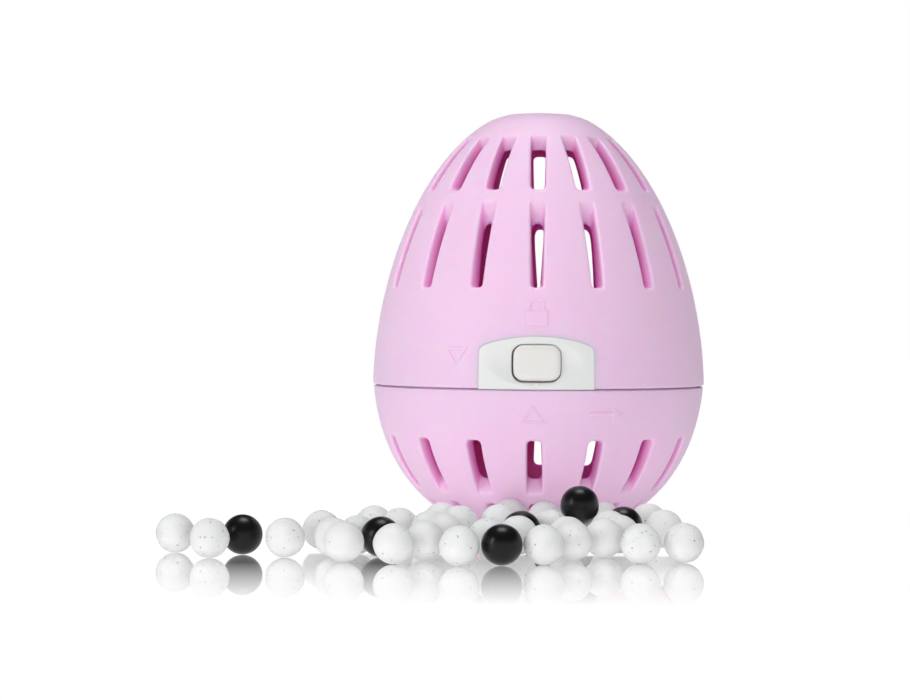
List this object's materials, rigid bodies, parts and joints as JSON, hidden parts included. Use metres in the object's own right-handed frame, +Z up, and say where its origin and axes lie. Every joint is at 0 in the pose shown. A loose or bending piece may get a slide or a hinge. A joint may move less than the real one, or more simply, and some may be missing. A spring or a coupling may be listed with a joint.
{
  "type": "laundry egg",
  "caption": "Vented egg-shaped pellet holder for the washing drum, with a turn-lock lid and a push button, its round mineral pellets lying in front.",
  "frame": {"origin": "centre of the egg's flat base, on the surface that it stands on", "axes": "+Z up along the egg's axis, the button faces -Y, +X is to the right of the button"},
  "size_m": [0.1399, 0.1809, 0.1145],
  "materials": {
    "pink_plastic": "soft matte moulded pink",
    "white_plastic": "matte moulded white",
    "cream_plastic": "satin moulded cream white",
    "spring_plastic": "moulded natural white",
    "mineral_white": "chalky, slightly pitted white",
    "mineral_black": "satin charcoal black"
  },
  "bodies": {
    "cup": {"bottom_shell": "pink_plastic", "white_pellet_01": "mineral_white", "white_pellet_02": "mineral_white", "white_pellet_03": "mineral_white", "white_pellet_04": "mineral_white", "white_pellet_05": "mineral_white", "white_pellet_06": "mineral_white", "white_pellet_07": "mineral_white", "white_pellet_08": "mineral_white", "white_pellet_09": "mineral_white", "white_pellet_10": "mineral_white", "white_pellet_11": "mineral_white", "white_pellet_12": "mineral_white", "white_pellet_13": "mineral_white", "white_pellet_14": "mineral_white", "white_pellet_15": "mineral_white", "white_pellet_16": "mineral_white", "white_pellet_17": "mineral_white", "white_pellet_18": "mineral_white", "white_pellet_19": "mineral_white", "white_pellet_20": "mineral_white", "white_pellet_21": "mineral_white", "white_pellet_22": "mineral_white", "white_pellet_23": "mineral_white", "white_pellet_24": "mineral_white", "white_pellet_25": "mineral_white", "white_pellet_26": "mineral_white", "white_pellet_27": "mineral_white", "white_pellet_28": "mineral_white", "white_pellet_29": "mineral_white", "white_pellet_30": "mineral_white", "white_pellet_31": "mineral_white", "white_pellet_32": "mineral_white", "white_pellet_33": "mineral_white", "white_pellet_34": "mineral_white", "black_pellet_01": "mineral_black", "black_pellet_02": "mineral_black", "black_pellet_03": "mineral_black", "black_pellet_04": "mineral_black", "black_pellet_05": "mineral_black", "black_pellet_06": "mineral_black"},
    "ring": {"lock_ring": "pink_plastic"},
    "lid": {"top_shell": "pink_plastic", "lock_panel": "white_plastic", "button_spring": "spring_plastic"},
    "button": {"release_button": "cream_plastic"}
  },
  "joints": [
    {"name": "lid_twist", "type": "hinge", "parent": "cup", "child": "ring", "pos_m": [0, 0, 0.0385], "axis": [0, 0, 1], "range_deg": [0, 26]},
    {"name": "lid_lift", "type": "slide", "parent": "ring", "child": "lid", "axis": [0, 0, 1], "range_m": [0, 0.09]},
    {"name": "button_press", "type": "slide", "parent": "lid", "child": "button", "axis": [0, 1, 0], "range_m": [0, 0.002], "stiffness_N_per_m": 600, "springref_m": -0.0005, "deforming": ["button_spring"]}
  ]
}
